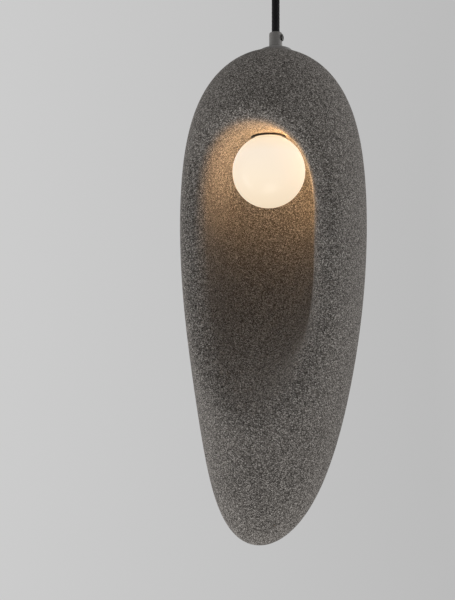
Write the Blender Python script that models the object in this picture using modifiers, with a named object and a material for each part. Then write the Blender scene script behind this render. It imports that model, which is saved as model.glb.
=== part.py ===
"""Pendant ceiling light: a hollow mineral-resin shade with a lit scoop, hung on a textile cord.

Metres, +Z up. The ceiling is the plane z = 0, the cord hangs on the Z axis and the scoop opens towards -Y.
"""

import math

import bmesh
import bpy
import numpy as np
from mathutils import Vector

# Driving dimensions
gap = 0.0003
canopy_radius = 0.060
canopy_height = 0.026
canopy_wall = 0.0012
gland_height = 0.012
cord_radius = 0.0044
cord_free_length = 0.052
grip_radius = 0.0074
grip_height = 0.0165
cap_radius = 0.0190
cap_height = 0.0085
cap_rim_height = 0.0052
shade_radius = 0.1036
crown_height = 0.1957
tail_height = 0.339
body_forward = 0.0113
tail_sweep = 0.048
front_wall = 0.0032
back_wall = 0.0047
globe_radius = 0.040
globe_wall = 0.0025
globe_forward = 0.0252
globe_depth = 0.136
ceiling_depth = 0.0972

# Fullness of the shade's outline above and below its widest level, and how late its tail sweeps forward
crown_fullness = 0.518
tail_leanness = 0.282
tail_fullness = 0.567
tail_sweep_power = 3.84

# The scoop's lip, the middle line its wall runs down to, and the flat seat in its ceiling
lip_width = 0.0880
lip_up = 0.1195
lip_down = 0.216
lip_shoulder_up = 0.22
lip_shoulder_down = 0.32
lip_roll = 0.015
lip_roll_low = 0.022
lip_lean = 48
foot_up = 0.041
foot_down = 0.120
scoop_depth = 0.042
scoop_ramp = 0.058
ramp_power = 2.2
wall_pull = 0.80
wall_pull_low = 0.40
seat_inner = 0.026
seat_outer = 0.052
columns = 40

# Fasteners and fittings that several pieces share
strap_thickness = 0.0015
cover_screw_level = -0.0105
gland_thread_radius = 0.0068
gland_hole_radius = 0.0071
small_screw_hole = 0.0018
cord_bore = 0.0048
nipple_radius = 0.0050
nipple_hole_radius = 0.0056
wire_radius = 0.0011
holder_radius = 0.0169
holder_hole_radius = 0.0173
holder_screw_x = 0.0136
bulb_pin_x = 0.0045
neck_radius = 0.0151
neck_inner_radius = 0.0126

# Heights that follow from them
canopy_bottom = -canopy_height
gland_bottom = canopy_bottom - gland_height
cord_pivot = canopy_bottom - 0.004
grip_top = gland_bottom - cord_free_length
grip_bottom = grip_top - grip_height
cap_top = grip_bottom - gap
shade_top = cap_top - cap_height
widest_level = shade_top - crown_height
globe_level = shade_top - globe_depth
seat_level = shade_top - ceiling_depth

for leftover in list(bpy.data.objects):
    bpy.data.objects.remove(leftover)

parts = bpy.data.collections.new("pendant_ceiling_light")
cutters = bpy.data.collections.new("cutters")
for group in (parts, cutters):
    bpy.context.scene.collection.children.link(group)


def material(name, colour, roughness, metallic=0.0):
    made = bpy.data.materials.new(name)
    made.use_nodes = True
    shader = made.node_tree.nodes["Principled BSDF"]
    shader.inputs["Base Color"].default_value = (*colour, 1)
    shader.inputs["Roughness"].default_value = roughness
    shader.inputs["Metallic"].default_value = metallic
    return made


mineral_resin = material("mineral_resin", (0.12, 0.11, 0.10), 0.95)
grey_paint = material("grey_paint", (0.13, 0.125, 0.12), 0.6)
black_textile = material("black_textile", (0.012, 0.012, 0.012), 0.9)
black_plastic = material("black_plastic", (0.02, 0.02, 0.02), 0.5)
zinc_steel = material("zinc_steel", (0.55, 0.55, 0.54), 0.35, 1.0)
brass = material("brass", (0.70, 0.50, 0.22), 0.3, 1.0)
porcelain = material("porcelain", (0.85, 0.83, 0.78), 0.3)
opal_glass = material("opal_glass", (0.95, 0.86, 0.70), 0.15)
clear_glass = material("clear_glass", (0.9, 0.9, 0.88), 0.05)
silicone = material("silicone", (0.75, 0.73, 0.70), 0.7)
brown_sleeve = material("brown_sleeve", (0.12, 0.05, 0.02), 0.6)
blue_sleeve = material("blue_sleeve", (0.02, 0.10, 0.35), 0.6)
earth_sleeve = material("earth_sleeve", (0.12, 0.35, 0.05), 0.6)


def pivot(name, place, parent=None):
    """An empty on a joint's axis, which carries the pieces that the joint moves."""
    empty = bpy.data.objects.new(name, None)
    empty.empty_display_size = 0.02
    parts.objects.link(empty)
    empty.location = place
    if parent:
        bpy.context.view_layer.update()
        empty.parent = parent
        empty.matrix_parent_inverse = parent.matrix_world.inverted()
    return empty


def add(obj, look, parent=None):
    """Links a finished piece, gives it its material and hangs it on its joint's empty."""
    if obj.name not in parts.objects:
        parts.objects.link(obj)
    obj.data.materials.append(look)
    if parent:
        bpy.context.view_layer.update()
        obj.parent = parent
        obj.matrix_parent_inverse = parent.matrix_world.inverted()
    return obj


def mesh_object(name, vertices, faces, edges=()):
    mesh = bpy.data.meshes.new(name)
    mesh.from_pydata([tuple(v) for v in vertices], list(edges), [tuple(f) for f in faces])
    mesh.update()
    return bpy.data.objects.new(name, mesh)


def turned(name, profile, closed=False, place=(0, 0, 0), steps=24):
    """A profile of (radius, height) points, outer side from top to bottom, turned about the Z axis."""
    points = [(radius, 0, height) for radius, height in profile]
    edges = [(i, i + 1) for i in range(len(points) - 1)]
    if closed:
        edges.append((len(points) - 1, 0))
    obj = mesh_object(name, points, [], edges)
    obj.location = place
    screw = obj.modifiers.new("Turn", "SCREW")
    screw.steps = steps
    screw.render_steps = steps
    screw.use_merge_vertices = True
    screw.merge_threshold = 0.00001
    screw.use_smooth_shade = True
    return obj


def arc(centre, radius, start, end, count):
    """Points of a circular arc in a profile; the angles are in degrees from the radius axis."""
    angles = np.radians(np.linspace(start, end, count))
    return [(centre[0] + radius * math.cos(a), centre[1] + radius * math.sin(a)) for a in angles]


def cylinder(name, radius, length, place, direction=(0, 0, 1), sides=24):
    """A round bar centred on a place, along a direction."""
    mesh = bpy.data.meshes.new(name)
    shape = bmesh.new()
    bmesh.ops.create_cone(
        shape, cap_ends=True, segments=sides, radius1=radius, radius2=radius, depth=length
    )
    shape.to_mesh(mesh)
    shape.free()
    obj = bpy.data.objects.new(name, mesh)
    obj.location = place
    obj.rotation_euler = Vector(direction).to_track_quat("Z", "Y").to_euler()
    return obj


def block(name, size, place, rounding=0.0):
    """A box with applied scale and, where asked, rounded edges."""
    mesh = bpy.data.meshes.new(name)
    shape = bmesh.new()
    bmesh.ops.create_cube(shape, size=1)
    bmesh.ops.scale(shape, vec=Vector(size), verts=shape.verts)
    shape.to_mesh(mesh)
    shape.free()
    obj = bpy.data.objects.new(name, mesh)
    obj.location = place
    if rounding:
        bevel = obj.modifiers.new("Edges", "BEVEL")
        bevel.width = rounding
        bevel.segments = 2
    return obj


def wire(name, points, radius, resolution=1):
    """A round wire along a list of points, with closed ends."""
    curve = bpy.data.curves.new(name, "CURVE")
    curve.dimensions = "3D"
    curve.bevel_depth = radius
    curve.bevel_resolution = resolution
    curve.use_fill_caps = True
    spline = curve.splines.new("POLY")
    spline.points.add(len(points) - 1)
    for point, place in zip(spline.points, points):
        point.co = (*place, 1)
    return bpy.data.objects.new(name, curve)


def boolean(obj, other, operation="DIFFERENCE"):
    """Cuts or joins a piece with a guide, which stays hidden in the cutters' collection."""
    if other.name not in cutters.objects:
        cutters.objects.link(other)
    other.hide_render = True
    other.display_type = "WIRE"
    change = obj.modifiers.new(operation.title(), "BOOLEAN")
    change.operation = operation
    change.solver = "EXACT"
    change.object = other
    return obj


def plate(name, outline, depth, place, turn=(0, 0, 0)):
    """A flat outline made a solid of a given depth, as a mesh that Booleans can use."""
    curve = bpy.data.curves.new(name, "CURVE")
    curve.dimensions = "2D"
    curve.fill_mode = "BOTH"
    curve.extrude = depth / 2
    spline = curve.splines.new("POLY")
    spline.points.add(len(outline) - 1)
    for point, (x, y) in zip(spline.points, outline):
        point.co = (x, y, 0, 1)
    spline.use_cyclic_u = True
    drawn = bpy.data.objects.new(name + "_outline", curve)
    drawn.location = place
    drawn.rotation_euler = turn
    cutters.objects.link(drawn)
    bpy.context.view_layer.update()
    graph = bpy.context.evaluated_depsgraph_get()
    mesh = bpy.data.meshes.new_from_object(drawn.evaluated_get(graph))
    shape = bmesh.new()
    shape.from_mesh(mesh)
    bmesh.ops.remove_doubles(shape, verts=shape.verts, dist=0.00001)
    bmesh.ops.recalc_face_normals(shape, faces=shape.faces)
    shape.to_mesh(mesh)
    shape.free()
    made = bpy.data.objects.new(name, mesh)
    made.matrix_world = drawn.matrix_world
    bpy.data.objects.remove(drawn)
    return made


# The joints' axes: the cord at the canopy's gland, the cord's lower end, the grip and the globe's thread
cord_swing = pivot("swing_side_axis", (0, 0, cord_pivot))
lamp_nod = pivot("swing_front_axis", (0, 0, grip_top), cord_swing)
lamp_turn = pivot("turn_axis", (0, 0, cap_top), lamp_nod)
globe_slide = pivot("globe_drop_axis", (0, -globe_forward, globe_level), lamp_turn)
globe_screw = pivot("globe_turn_axis", (0, -globe_forward, globe_level), globe_slide)


def ceiling_fitting():
    """Steel strap that is screwed to the ceiling, with two ears for the canopy's side screws."""
    strap_end = 0.055
    strap_width = 0.020
    ear_drop = 0.016
    inside_end = strap_end - strap_thickness
    outline = [(-strap_end, 0), (-strap_end, -ear_drop)]
    outline += [(-inside_end, -ear_drop), (-inside_end, -strap_thickness)]
    outline += [(-x, z) for x, z in reversed(outline)]
    strap = plate("ceiling_bracket", outline, strap_width, (0, 0, 0), (math.pi / 2, 0, 0))
    slot_length, slot_width = 0.012, 0.005
    straight = (slot_length - slot_width) / 2
    slot_x = 0.042
    slot_outline = arc((straight, 0), slot_width / 2, -90, 90, 9)
    slot_outline += arc((-straight, 0), slot_width / 2, 90, 270, 9)
    for word, x in (("earth_hole", -0.014), ("block_hole", 0.024)):
        boolean(strap, cylinder(word, small_screw_hole, 0.006, (x, 0, 0), sides=16))
    for side, word in ((1, "right"), (-1, "left")):
        place = (side * strap_end, 0, cover_screw_level)
        boolean(strap, cylinder("ear_hole_" + word, small_screw_hole, 0.006, place, (1, 0, 0)))
        boolean(strap, plate("ceiling_slot_" + word, slot_outline, 0.008, (side * slot_x, 0, 0)))
    add(strap, zinc_steel)

    floor = canopy_bottom + canopy_wall
    inner = canopy_radius - canopy_wall
    bend = 0.006
    outer_bend = arc((canopy_radius - bend, canopy_bottom + bend), bend, 0, -90, 6)
    inner_bend = arc((inner - bend + canopy_wall, canopy_bottom + bend), bend - canopy_wall, -90, 0, 6)
    profile = [(canopy_radius, 0)] + outer_bend
    profile += [(gland_hole_radius, canopy_bottom), (gland_hole_radius, floor)]
    cover = turned("canopy_cover", profile + inner_bend + [(inner, 0)], closed=True, steps=36)
    for side, word in ((1, "right"), (-1, "left")):
        place = (side * canopy_radius, 0, cover_screw_level)
        boolean(cover, cylinder("cover_hole_" + word, small_screw_hole, 0.006, place, (1, 0, 0)))
    add(cover, grey_paint)

    for side, word in ((1, "right"), (-1, "left")):
        head_start = canopy_radius + gap
        screw = turned(
            "cover_screw_" + word,
            [(0, 0.0018), (0.0022, 0.0016), (0.0034, 0), (0.0015, 0), (0.0015, -0.009), (0, -0.009)],
            place=(side * head_start, 0, cover_screw_level),
            steps=16,
        )
        screw.rotation_euler = (0, side * math.pi / 2, 0)
        add(screw, zinc_steel)

    gland_radius = 0.0095
    gland_top = -0.0165
    gland_edge = 0.0015
    collar_top = canopy_bottom - gap
    gland_profile = [(gland_thread_radius, gland_top), (gland_thread_radius, collar_top)]
    gland_profile += [(gland_radius, collar_top)]
    gland_profile += arc((gland_radius - gland_edge, gland_bottom + gland_edge), gland_edge, 0, -90, 4)
    gland_profile += [(0.0050, cord_pivot), (cord_bore, cord_pivot + 0.001), (cord_bore, gland_top)]
    gland = turned("cord_gland", gland_profile, closed=True)
    clamp_level = canopy_bottom - 0.0022
    boolean(gland, cylinder("gland_screw_hole", 0.0013, 0.010, (0, 0.009, clamp_level), (0, 1, 0), 16))
    add(gland, black_plastic)
    nut_height = 0.004
    nut = cylinder("gland_nut", 0.0105, nut_height, (0, 0, floor + gap + nut_height / 2), sides=6)
    boolean(nut, cylinder("gland_nut_bore", gland_hole_radius, 0.02, (0, 0, floor), sides=32))
    add(nut, black_plastic)
    clamp = turned(
        "gland_clamp_screw",
        [(0, 0.0012), (0.0019, 0.0010), (0.0022, 0), (0.0010, 0), (0.0010, -0.0045), (0, -0.0045)],
        place=(0, gland_radius + gap, clamp_level),
        steps=16,
    )
    clamp.rotation_euler = (-math.pi / 2, 0, 0)
    add(clamp, zinc_steel)


def ceiling_wiring():
    """Terminal block, earth terminal and the three conductors of the cord, inside the canopy."""
    strap_under = -strap_thickness - gap
    block_height = 0.009
    block_level = strap_under - block_height / 2
    block_x = 0.024
    entry_x = 0.015
    entry_y = 0.0045
    terminal = block("terminal_block", (0.018, 0.016, block_height), (block_x, 0, block_level), 0.0008)
    boolean(terminal, cylinder("terminal_bore", 0.0017, 0.03, (block_x, 0, block_level)))
    for word, side in (("neutral", -1), ("live", 1)):
        place = (entry_x, side * entry_y, block_level)
        boolean(terminal, cylinder("terminal_entry_" + word, 0.0015, 0.010, place, (1, 0, 0), 16))
    add(terminal, porcelain)
    head_top = strap_under - block_height - gap
    screw_profile = [(0, -0.0004), (0.0014, -0.0004), (0.0014, head_top), (0.0028, head_top)]
    screw_profile += [(0.0024, head_top - 0.0016), (0, head_top - 0.0018)]
    add(turned("terminal_screw", screw_profile, place=(block_x, 0, 0), steps=16), zinc_steel)

    ring_top = strap_under
    ring_bottom = ring_top - 0.0008
    earth_x = -0.014
    ring = turned(
        "earth_terminal",
        [(0.0036, ring_top), (0.0036, ring_bottom), (0.0018, ring_bottom), (0.0018, ring_top)],
        closed=True,
        place=(earth_x, 0, 0),
        steps=20,
    )
    add(ring, brass)
    head_top = ring_bottom - gap
    screw_profile = [(0, -0.0004), (0.0014, -0.0004), (0.0014, head_top), (0.0030, head_top)]
    screw_profile += [(0.0026, head_top - 0.0018), (0, head_top - 0.0020)]
    add(turned("earth_screw", screw_profile, place=(earth_x, 0, 0), steps=16), zinc_steel)

    tail_top = -0.0140
    add(wire("cord_tail", [(0, 0, cord_pivot + 0.0017), (0, 0, tail_top)], cord_radius, 2), black_textile)

    steps = np.linspace(0, 1, 9)
    turn = steps * steps * (3 - 2 * steps)
    routes = (
        ("live_wire", brown_sleeve, (0.0012, 0.0020), (entry_x, entry_y), block_level),
        ("neutral_wire", blue_sleeve, (0.0012, -0.0020), (entry_x, -entry_y), block_level),
        ("earth_wire", earth_sleeve, (-0.0022, 0.0), (-0.0099, 0.0), ring_bottom - 0.0001),
    )
    for name, look, start, end, level in routes:
        x = start[0] + (end[0] - start[0]) * steps ** 1.6
        y = start[1] + (end[1] - start[1]) * turn
        z = tail_top + gap + (level - tail_top - gap) * (1 - (1 - steps) ** 1.8)
        add(wire(name, list(zip(x, y, z)), wire_radius), look)


def hanging_cord():
    """Textile cord from the gland's mouth to the grip, and the grip that is clamped on it."""
    levels = np.linspace(cord_pivot, grip_top, 5)
    add(wire("cord", [(0, 0, level) for level in levels], cord_radius, 4), black_textile, cord_swing)

    bore_bottom = grip_top - 0.0085
    web_bottom = bore_bottom - 0.002
    web_hole = 0.0026
    socket_radius = 0.0053
    edge = 0.0015
    profile = [(0.0054, grip_top)] + arc((grip_radius - edge, grip_top - edge), edge, 90, 0, 5)
    profile += [(grip_radius, grip_bottom), (socket_radius, grip_bottom), (socket_radius, web_bottom)]
    profile += [(web_hole, web_bottom), (web_hole, bore_bottom)]
    profile += [(cord_bore, bore_bottom), (cord_bore, grip_top - 0.0008)]
    grip = turned("cord_grip", profile, closed=True)
    screw_level = grip_top - 0.0058
    place = (grip_radius, 0, screw_level)
    boolean(grip, cylinder("grip_screw_hole", small_screw_hole, 0.008, place, (1, 0, 0), 16))
    add(grip, grey_paint, lamp_nod)
    screw_profile = [(0, 0.0013), (0.0028, 0.0012), (0.0037, 0.0007), (0.0037, 0)]
    screw_profile += [(0.0015, 0), (0.0015, -0.0031), (0, -0.0031)]
    screw = turned("grip_screw", screw_profile, place=(grip_radius + gap, 0, screw_level), steps=20)
    screw.rotation_euler = (0, math.pi / 2, 0)
    add(screw, zinc_steel, lamp_nod)
    end = wire("cord_end", [(0, 0, grip_top - 0.0012), (0, 0, bore_bottom + gap)], cord_radius, 2)
    add(end, black_textile, lamp_nod)


def half_width(height):
    """Half-width of the shade at a height above its widest level: an ellipse, fuller above and below."""
    above = height >= 0
    share = (height / np.where(above, crown_height, tail_height)) ** 2
    below = 1 - tail_leanness * share + tail_fullness * share ** 2
    fullness = np.where(above, 1 + crown_fullness * share, below)
    return shade_radius * np.sqrt(np.maximum((1 - share) * fullness, 0))


def section_middle(height):
    """The Y of the section's middle: straight down the body, then sweeping forward in the tail."""
    return -body_forward - tail_sweep * np.clip(-height / tail_height, 0, 1) ** tail_sweep_power


def sheet(x, height, side):
    """The Y of the shade's round surface, on its front (side -1) or its back (side 1)."""
    return section_middle(height) + side * np.sqrt(np.maximum(half_width(height) ** 2 - x ** 2, 0))


def lip_line(angle):
    """Where the lip starts, as x and height: two half ovals with full shoulders; angle 0 is the top."""
    above = np.cos(angle) >= 0
    shoulder = np.where(above, lip_shoulder_up, lip_shoulder_down)
    x = lip_width * np.sin(angle) * (1 + shoulder * np.cos(angle) ** 2)
    return x, np.where(above, lip_up, lip_down) * np.cos(angle)


def foot_line(angle):
    """The height on the scoop's middle line where each meridian ends."""
    return np.where(np.cos(angle) >= 0, foot_up, foot_down) * np.cos(angle)


def rim(angle):
    """The shade's widest outline, seen from the front."""
    height = np.where(np.cos(angle) >= 0, crown_height, tail_height) * np.cos(angle)
    return np.sign(np.sin(angle)) * half_width(height), height


def back_rows(angle, turns):
    """The back of the shade: from the middle line out to the rim, evenly in turning angle."""
    rim_x, rim_height = rim(angle)
    foot = 0.5 * rim_height
    share = np.sin(turns)[:, None]
    x = share * rim_x
    height = foot + share * (rim_height - foot)
    return np.stack([x, sheet(x, height, 1), height], axis=-1)


def front_rows(angle, shares):
    """The front of the shade from its rim to the start of the lip."""
    rim_x, rim_height = rim(angle)
    lip_x, lip_height = lip_line(angle)
    share = (1 - np.cos(shares * math.pi / 2))[:, None]
    x = rim_x + share * (lip_x - rim_x)
    height = rim_height + share * (lip_height - rim_height)
    return np.stack([x, sheet(x, height, -1), height], axis=-1)


def scoop_floor(height):
    """Depth of the scoop's middle line and its slope: flat behind the globe, then a ramp to the front."""
    share = np.clip((foot_up - height) / (foot_up + foot_down), 0, 1)
    drop = scoop_ramp * share ** ramp_power
    slope = ramp_power * scoop_ramp * share ** (ramp_power - 1) / (foot_up + foot_down)
    return scoop_depth - drop, slope


def scoop_rows(angle, arc_shares, wall_shares):
    """The lip's round roll, then the scoop's wall: an arc and a cubic curve in each meridian's plane."""
    lip_x, lip_height = lip_line(angle)
    foot_height = foot_line(angle)
    reach = np.hypot(lip_x, lip_height - foot_height)
    way_x, way_height = lip_x / reach, (lip_height - foot_height) / reach
    step = gap
    outer = sheet(lip_x + step * way_x, lip_height + step * way_height, -1)
    inner = sheet(lip_x - step * way_x, lip_height - step * way_height, -1)
    start = math.pi + np.arctan((outer - inner) / (2 * step))
    low = (1 - np.cos(angle)) / 2
    lean = np.radians(lip_lean) * low ** 6
    roll = lip_roll + lip_roll_low * low ** 8
    end = math.pi / 2 + lean
    centre_s = reach + roll * np.sin(start)
    centre_y = sheet(lip_x, lip_height, -1) - roll * np.cos(start)
    heading = start + arc_shares[:, None] * (end - start)
    roll_s = centre_s - roll * np.sin(heading)
    roll_y = centre_y + roll * np.cos(heading)
    from_s, from_y = roll_s[-1], roll_y[-1]
    floor, slope = scoop_floor(foot_height)
    pull = wall_pull - wall_pull_low * low ** 1.5
    handle = pull * (floor - from_y)
    near_s = from_s - handle * np.tan(lean)
    near_y = from_y + handle
    far_s = pull * from_s
    far_y = floor + far_s * slope * way_height
    t = wall_shares[:, None]
    weights = ((1 - t) ** 3, 3 * t * (1 - t) ** 2, 3 * t ** 2 * (1 - t), t ** 3)
    wall_s = weights[0] * from_s + weights[1] * near_s + weights[2] * far_s
    wall_y = weights[0] * from_y + weights[1] * near_y + weights[2] * far_y + weights[3] * floor
    s = np.concatenate([roll_s, wall_s])
    y = np.concatenate([roll_y, wall_y])
    x = s * way_x
    height = foot_height + s * way_height
    seat_height = crown_height - ceiling_depth
    flat = np.clip((seat_outer - np.hypot(x, y + globe_forward)) / (seat_outer - seat_inner), 0, 1)
    flat = flat * flat * (3 - 2 * flat) * (height > seat_height - 0.04)
    height = height + flat * (seat_height - height)
    return np.stack([x, y, height], axis=-1)


meridians = np.arange(columns) * 2 * math.pi / columns
folded = np.minimum(np.arange(columns), columns - np.arange(columns))


def grid_object(name, rows, folded_row, flip):
    """A mesh over rows of points around the shade; the row on the middle line joins its two sides."""
    rows = rows + np.array([0, 0, widest_level])
    count = len(rows)
    index = np.arange(count * columns).reshape(count, columns)
    index[folded_row] = index[folded_row, folded]
    here, there = index, np.roll(index, -1, axis=1)
    quads = np.stack([here[:-1], there[:-1], there[1:], here[1:]], axis=-1).reshape(-1, 4)
    if flip:
        quads = quads[:, ::-1]
    used, compact = np.unique(quads, return_inverse=True)
    return mesh_object(name, rows.reshape(-1, 3)[used], compact.reshape(-1, 4).tolist())


def shade_shells():
    """The two bonded halves of the shade, the back half and the front half with the scoop."""
    near_rim = 0.985
    rim_share = 0.998
    back_turns = np.concatenate([np.linspace(0, 0.86, 6), [near_rim, rim_share]]) * math.pi / 2
    back_grid = back_rows(meridians, back_turns)
    back = grid_object("back_shell", back_grid, 0, True)
    front_shares = np.concatenate([[1 - rim_share, 1 - near_rim], np.linspace(0.22, 1, 5)])
    outside = front_rows(meridians, front_shares)
    wall_shares = np.array([0.07, 0.16, 0.28, 0.42, 0.58, 0.78, 1.0])
    inside = scoop_rows(meridians, np.linspace(0.25, 1, 4), wall_shares)
    front = grid_object("front_shell", np.concatenate([outside, inside]), -1, True)
    for shell, thickness in ((back, back_wall), (front, front_wall)):
        wall = shell.modifiers.new("Wall", "SOLIDIFY")
        wall.thickness = thickness
        wall.offset = -1
    boolean(back, cylinder("nipple_hole", nipple_hole_radius, 0.040, (0, 0, shade_top)))
    seat_top = seat_level + front_wall
    ring_face = 0.0235
    flange_face = 0.0200
    cut_top = seat_top + 0.020
    cut_bottom = seat_level - 0.015
    seat = [(0, cut_top), (ring_face, cut_top), (ring_face, seat_top), (holder_hole_radius, seat_top)]
    seat += [(holder_hole_radius, seat_level), (flange_face, seat_level), (flange_face, cut_bottom)]
    seat += [(0, cut_bottom)]
    boolean(front, turned("holder_seat", seat, place=(0, -globe_forward, 0), steps=28))
    for shell in (back, front):
        add(shell, mineral_resin, lamp_turn)
        shell.data.polygons.foreach_set("use_smooth", np.ones(len(shell.data.polygons), dtype=bool))
    return np.concatenate([back_grid, front_rows(meridians, np.linspace(0.02, 1, 7))])


def crown_fitting(whole):
    """Domed cap scribed to the crown, and the threaded nipple that clamps cap and shell together."""
    lift = np.array([0, 0, gap + 0.0002])
    crown = grid_object("crown_form", whole + lift, 0, True)
    shape = bmesh.new()
    shape.from_mesh(crown.data)
    bmesh.ops.holes_fill(shape, edges=[edge for edge in shape.edges if edge.is_boundary])
    bmesh.ops.recalc_face_normals(shape, faces=shape.faces)
    shape.to_mesh(crown.data)
    shape.free()
    skirt = shade_top - 0.009
    top_radius = 0.0078
    edge = 0.0016
    rim_level = shade_top + cap_rim_height - edge
    profile = [(top_radius, cap_top), (0.0130, cap_top - 0.0010)]
    profile += arc((cap_radius - edge, rim_level), edge, 80, 0, 5)
    profile += [(cap_radius, skirt), (nipple_hole_radius, skirt), (nipple_hole_radius, cap_top)]
    cap = turned("top_cap", profile, closed=True, steps=36)
    boolean(cap, crown)
    add(cap, grey_paint, lamp_turn)

    nipple_top = grip_bottom + 0.0055
    washer_top = shade_top - 0.0108
    washer_height = 0.0016
    nut_height = 0.005
    nipple_bottom = washer_top - washer_height - nut_height - 0.004
    nipple_bore = 0.0036
    thread_hole = nipple_radius + 0.0004
    profile = [(nipple_radius, nipple_top), (nipple_radius, nipple_bottom)]
    profile += [(nipple_bore, nipple_bottom), (nipple_bore, nipple_top)]
    add(turned("threaded_nipple", profile, closed=True), zinc_steel, lamp_turn)
    washer_bottom = washer_top - washer_height
    washer_radius = 0.0110
    profile = [(washer_radius, washer_top), (washer_radius, washer_bottom)]
    profile += [(thread_hole, washer_bottom), (thread_hole, washer_top)]
    add(turned("crown_washer", profile, closed=True), zinc_steel, lamp_turn)
    nut = cylinder("crown_nut", 0.0085, nut_height, (0, 0, washer_bottom - gap - nut_height / 2), sides=6)
    boolean(nut, cylinder("crown_nut_bore", thread_hole, 0.02, (0, 0, washer_bottom), sides=32))
    add(nut, zinc_steel, lamp_turn)

    steps = np.linspace(0, 1, 14)
    socket_top = shade_top - 0.0760 + gap
    level = nipple_top - 0.001 + (socket_top - nipple_top + 0.001) * steps
    bend = np.clip((nipple_bottom - 0.004 - level) / (nipple_bottom - 0.016 - socket_top), 0, 1)
    bend = bend * bend * (3 - 2 * bend)
    for word, side, look in (("live", 1, brown_sleeve), ("neutral", -1, blue_sleeve)):
        x = side * (0.0014 + 0.0022 * bend)
        route = list(zip(x, -globe_forward * bend, level))
        add(wire("inner_" + word + "_wire", route, wire_radius), look, lamp_turn)


def lampholder():
    """Black holder screwed through the scoop's ceiling, with a porcelain pin socket in it, and its lamp."""
    place = (0, -globe_forward, 0)
    flange_top = seat_level - gap
    flange_bottom = flange_top - 0.0012
    edge_bottom = flange_top - 0.0021
    shelf = shade_top - 0.0871
    plate_top = shade_top - 0.0828
    recess = plate_top - 0.0022
    flange_radius = 0.0185
    flange_edge = 0.0005
    mouth_radius = 0.0155
    socket_hole = 0.0084
    recess_radius = 0.0109
    profile = [(recess_radius, plate_top), (holder_radius, plate_top), (holder_radius, flange_top)]
    profile += [(flange_radius, flange_top), (flange_radius, edge_bottom + flange_edge)]
    profile += [(flange_radius - flange_edge, edge_bottom), (mouth_radius, flange_bottom)]
    profile += [(mouth_radius, shelf), (socket_hole, shelf), (socket_hole, recess), (recess_radius, recess)]
    holder = turned("lamp_holder", profile, closed=True, place=place, steps=28)
    for side, word in ((1, "right"), (-1, "left")):
        spot = (side * holder_screw_x, -globe_forward, plate_top)
        boolean(holder, cylinder("holder_screw_hole_" + word, 0.0015, 0.0040, spot, sides=16))
    add(holder, black_plastic, lamp_turn)

    ring_bottom = seat_level + front_wall + 0.0009
    ring_top = ring_bottom + 0.004
    ring_radius = 0.0225
    ring_bore = holder_radius + gap
    profile = [(ring_radius, ring_top), (ring_radius, ring_bottom)]
    profile += [(ring_bore, ring_bottom), (ring_bore, ring_top)]
    add(turned("holder_lock_ring", profile, closed=True, place=place), black_plastic, lamp_turn)

    socket_bottom = shade_top - 0.1040
    socket_top = shade_top - 0.0760
    socket_radius = 0.0080
    collar_radius = 0.0106
    collar_top = plate_top - gap
    collar_bottom = plate_top - 0.0019
    profile = [(0, socket_top), (socket_radius, socket_top), (socket_radius, collar_top)]
    profile += [(collar_radius, collar_top), (collar_radius, collar_bottom), (socket_radius, collar_bottom)]
    profile += [(socket_radius, socket_bottom), (0, socket_bottom)]
    socket = turned("pin_socket", profile, place=place)
    for side, word in ((1, "right"), (-1, "left")):
        spot = (side * bulb_pin_x, -globe_forward, socket_bottom)
        boolean(socket, cylinder("pin_hole_" + word, 0.0012, 0.020, spot, sides=16))
    add(socket, porcelain, lamp_turn)

    clamp_bottom = plate_top + gap
    clamp_top = clamp_bottom + 0.0012
    clamp_radius = 0.0165
    profile = [(clamp_radius, clamp_top), (clamp_radius, clamp_bottom)]
    profile += [(socket_hole, clamp_bottom), (socket_hole, clamp_top)]
    clamp = turned("socket_clamp", profile, closed=True, place=place)
    for side, word in ((1, "right"), (-1, "left")):
        spot = (side * holder_screw_x, -globe_forward, clamp_top)
        boolean(clamp, cylinder("clamp_hole_" + word, 0.0016, 0.006, spot, sides=16))
    add(clamp, zinc_steel, lamp_turn)
    for side, word in ((1, "right"), (-1, "left")):
        head = clamp_top + gap
        profile = [(0, head + 0.0016), (0.0020, head + 0.0014), (0.0026, head), (0.0012, head)]
        profile += [(0.0012, plate_top - 0.0015), (0, plate_top - 0.0015)]
        spot = (side * holder_screw_x, -globe_forward, 0)
        add(turned("clamp_screw_" + word, profile, place=spot, steps=16), zinc_steel, lamp_turn)

    base_top = socket_bottom - gap
    base_bottom = base_top - 0.0100
    profile = [(0, base_top), (0.0068, base_top), (0.0074, base_bottom), (0, base_bottom)]
    add(turned("bulb_base", profile, place=place), porcelain, lamp_turn)
    for side, word in ((1, "right"), (-1, "left")):
        pin_top = socket_bottom + 0.0085
        pin_length = pin_top - base_top - gap
        spot = (side * bulb_pin_x, -globe_forward, pin_top - pin_length / 2)
        add(cylinder("bulb_pin_" + word, 0.0008, pin_length, spot, sides=12), zinc_steel, lamp_turn)
    bulb_radius = 0.0068
    bulb_top = base_bottom - gap
    dome_level = bulb_top - 0.0260
    profile = [(0, bulb_top), (bulb_radius, bulb_top)] + arc((0, dome_level), bulb_radius, 0, -90, 8)
    add(turned("bulb_capsule", profile, place=place), clear_glass, lamp_turn)


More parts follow.
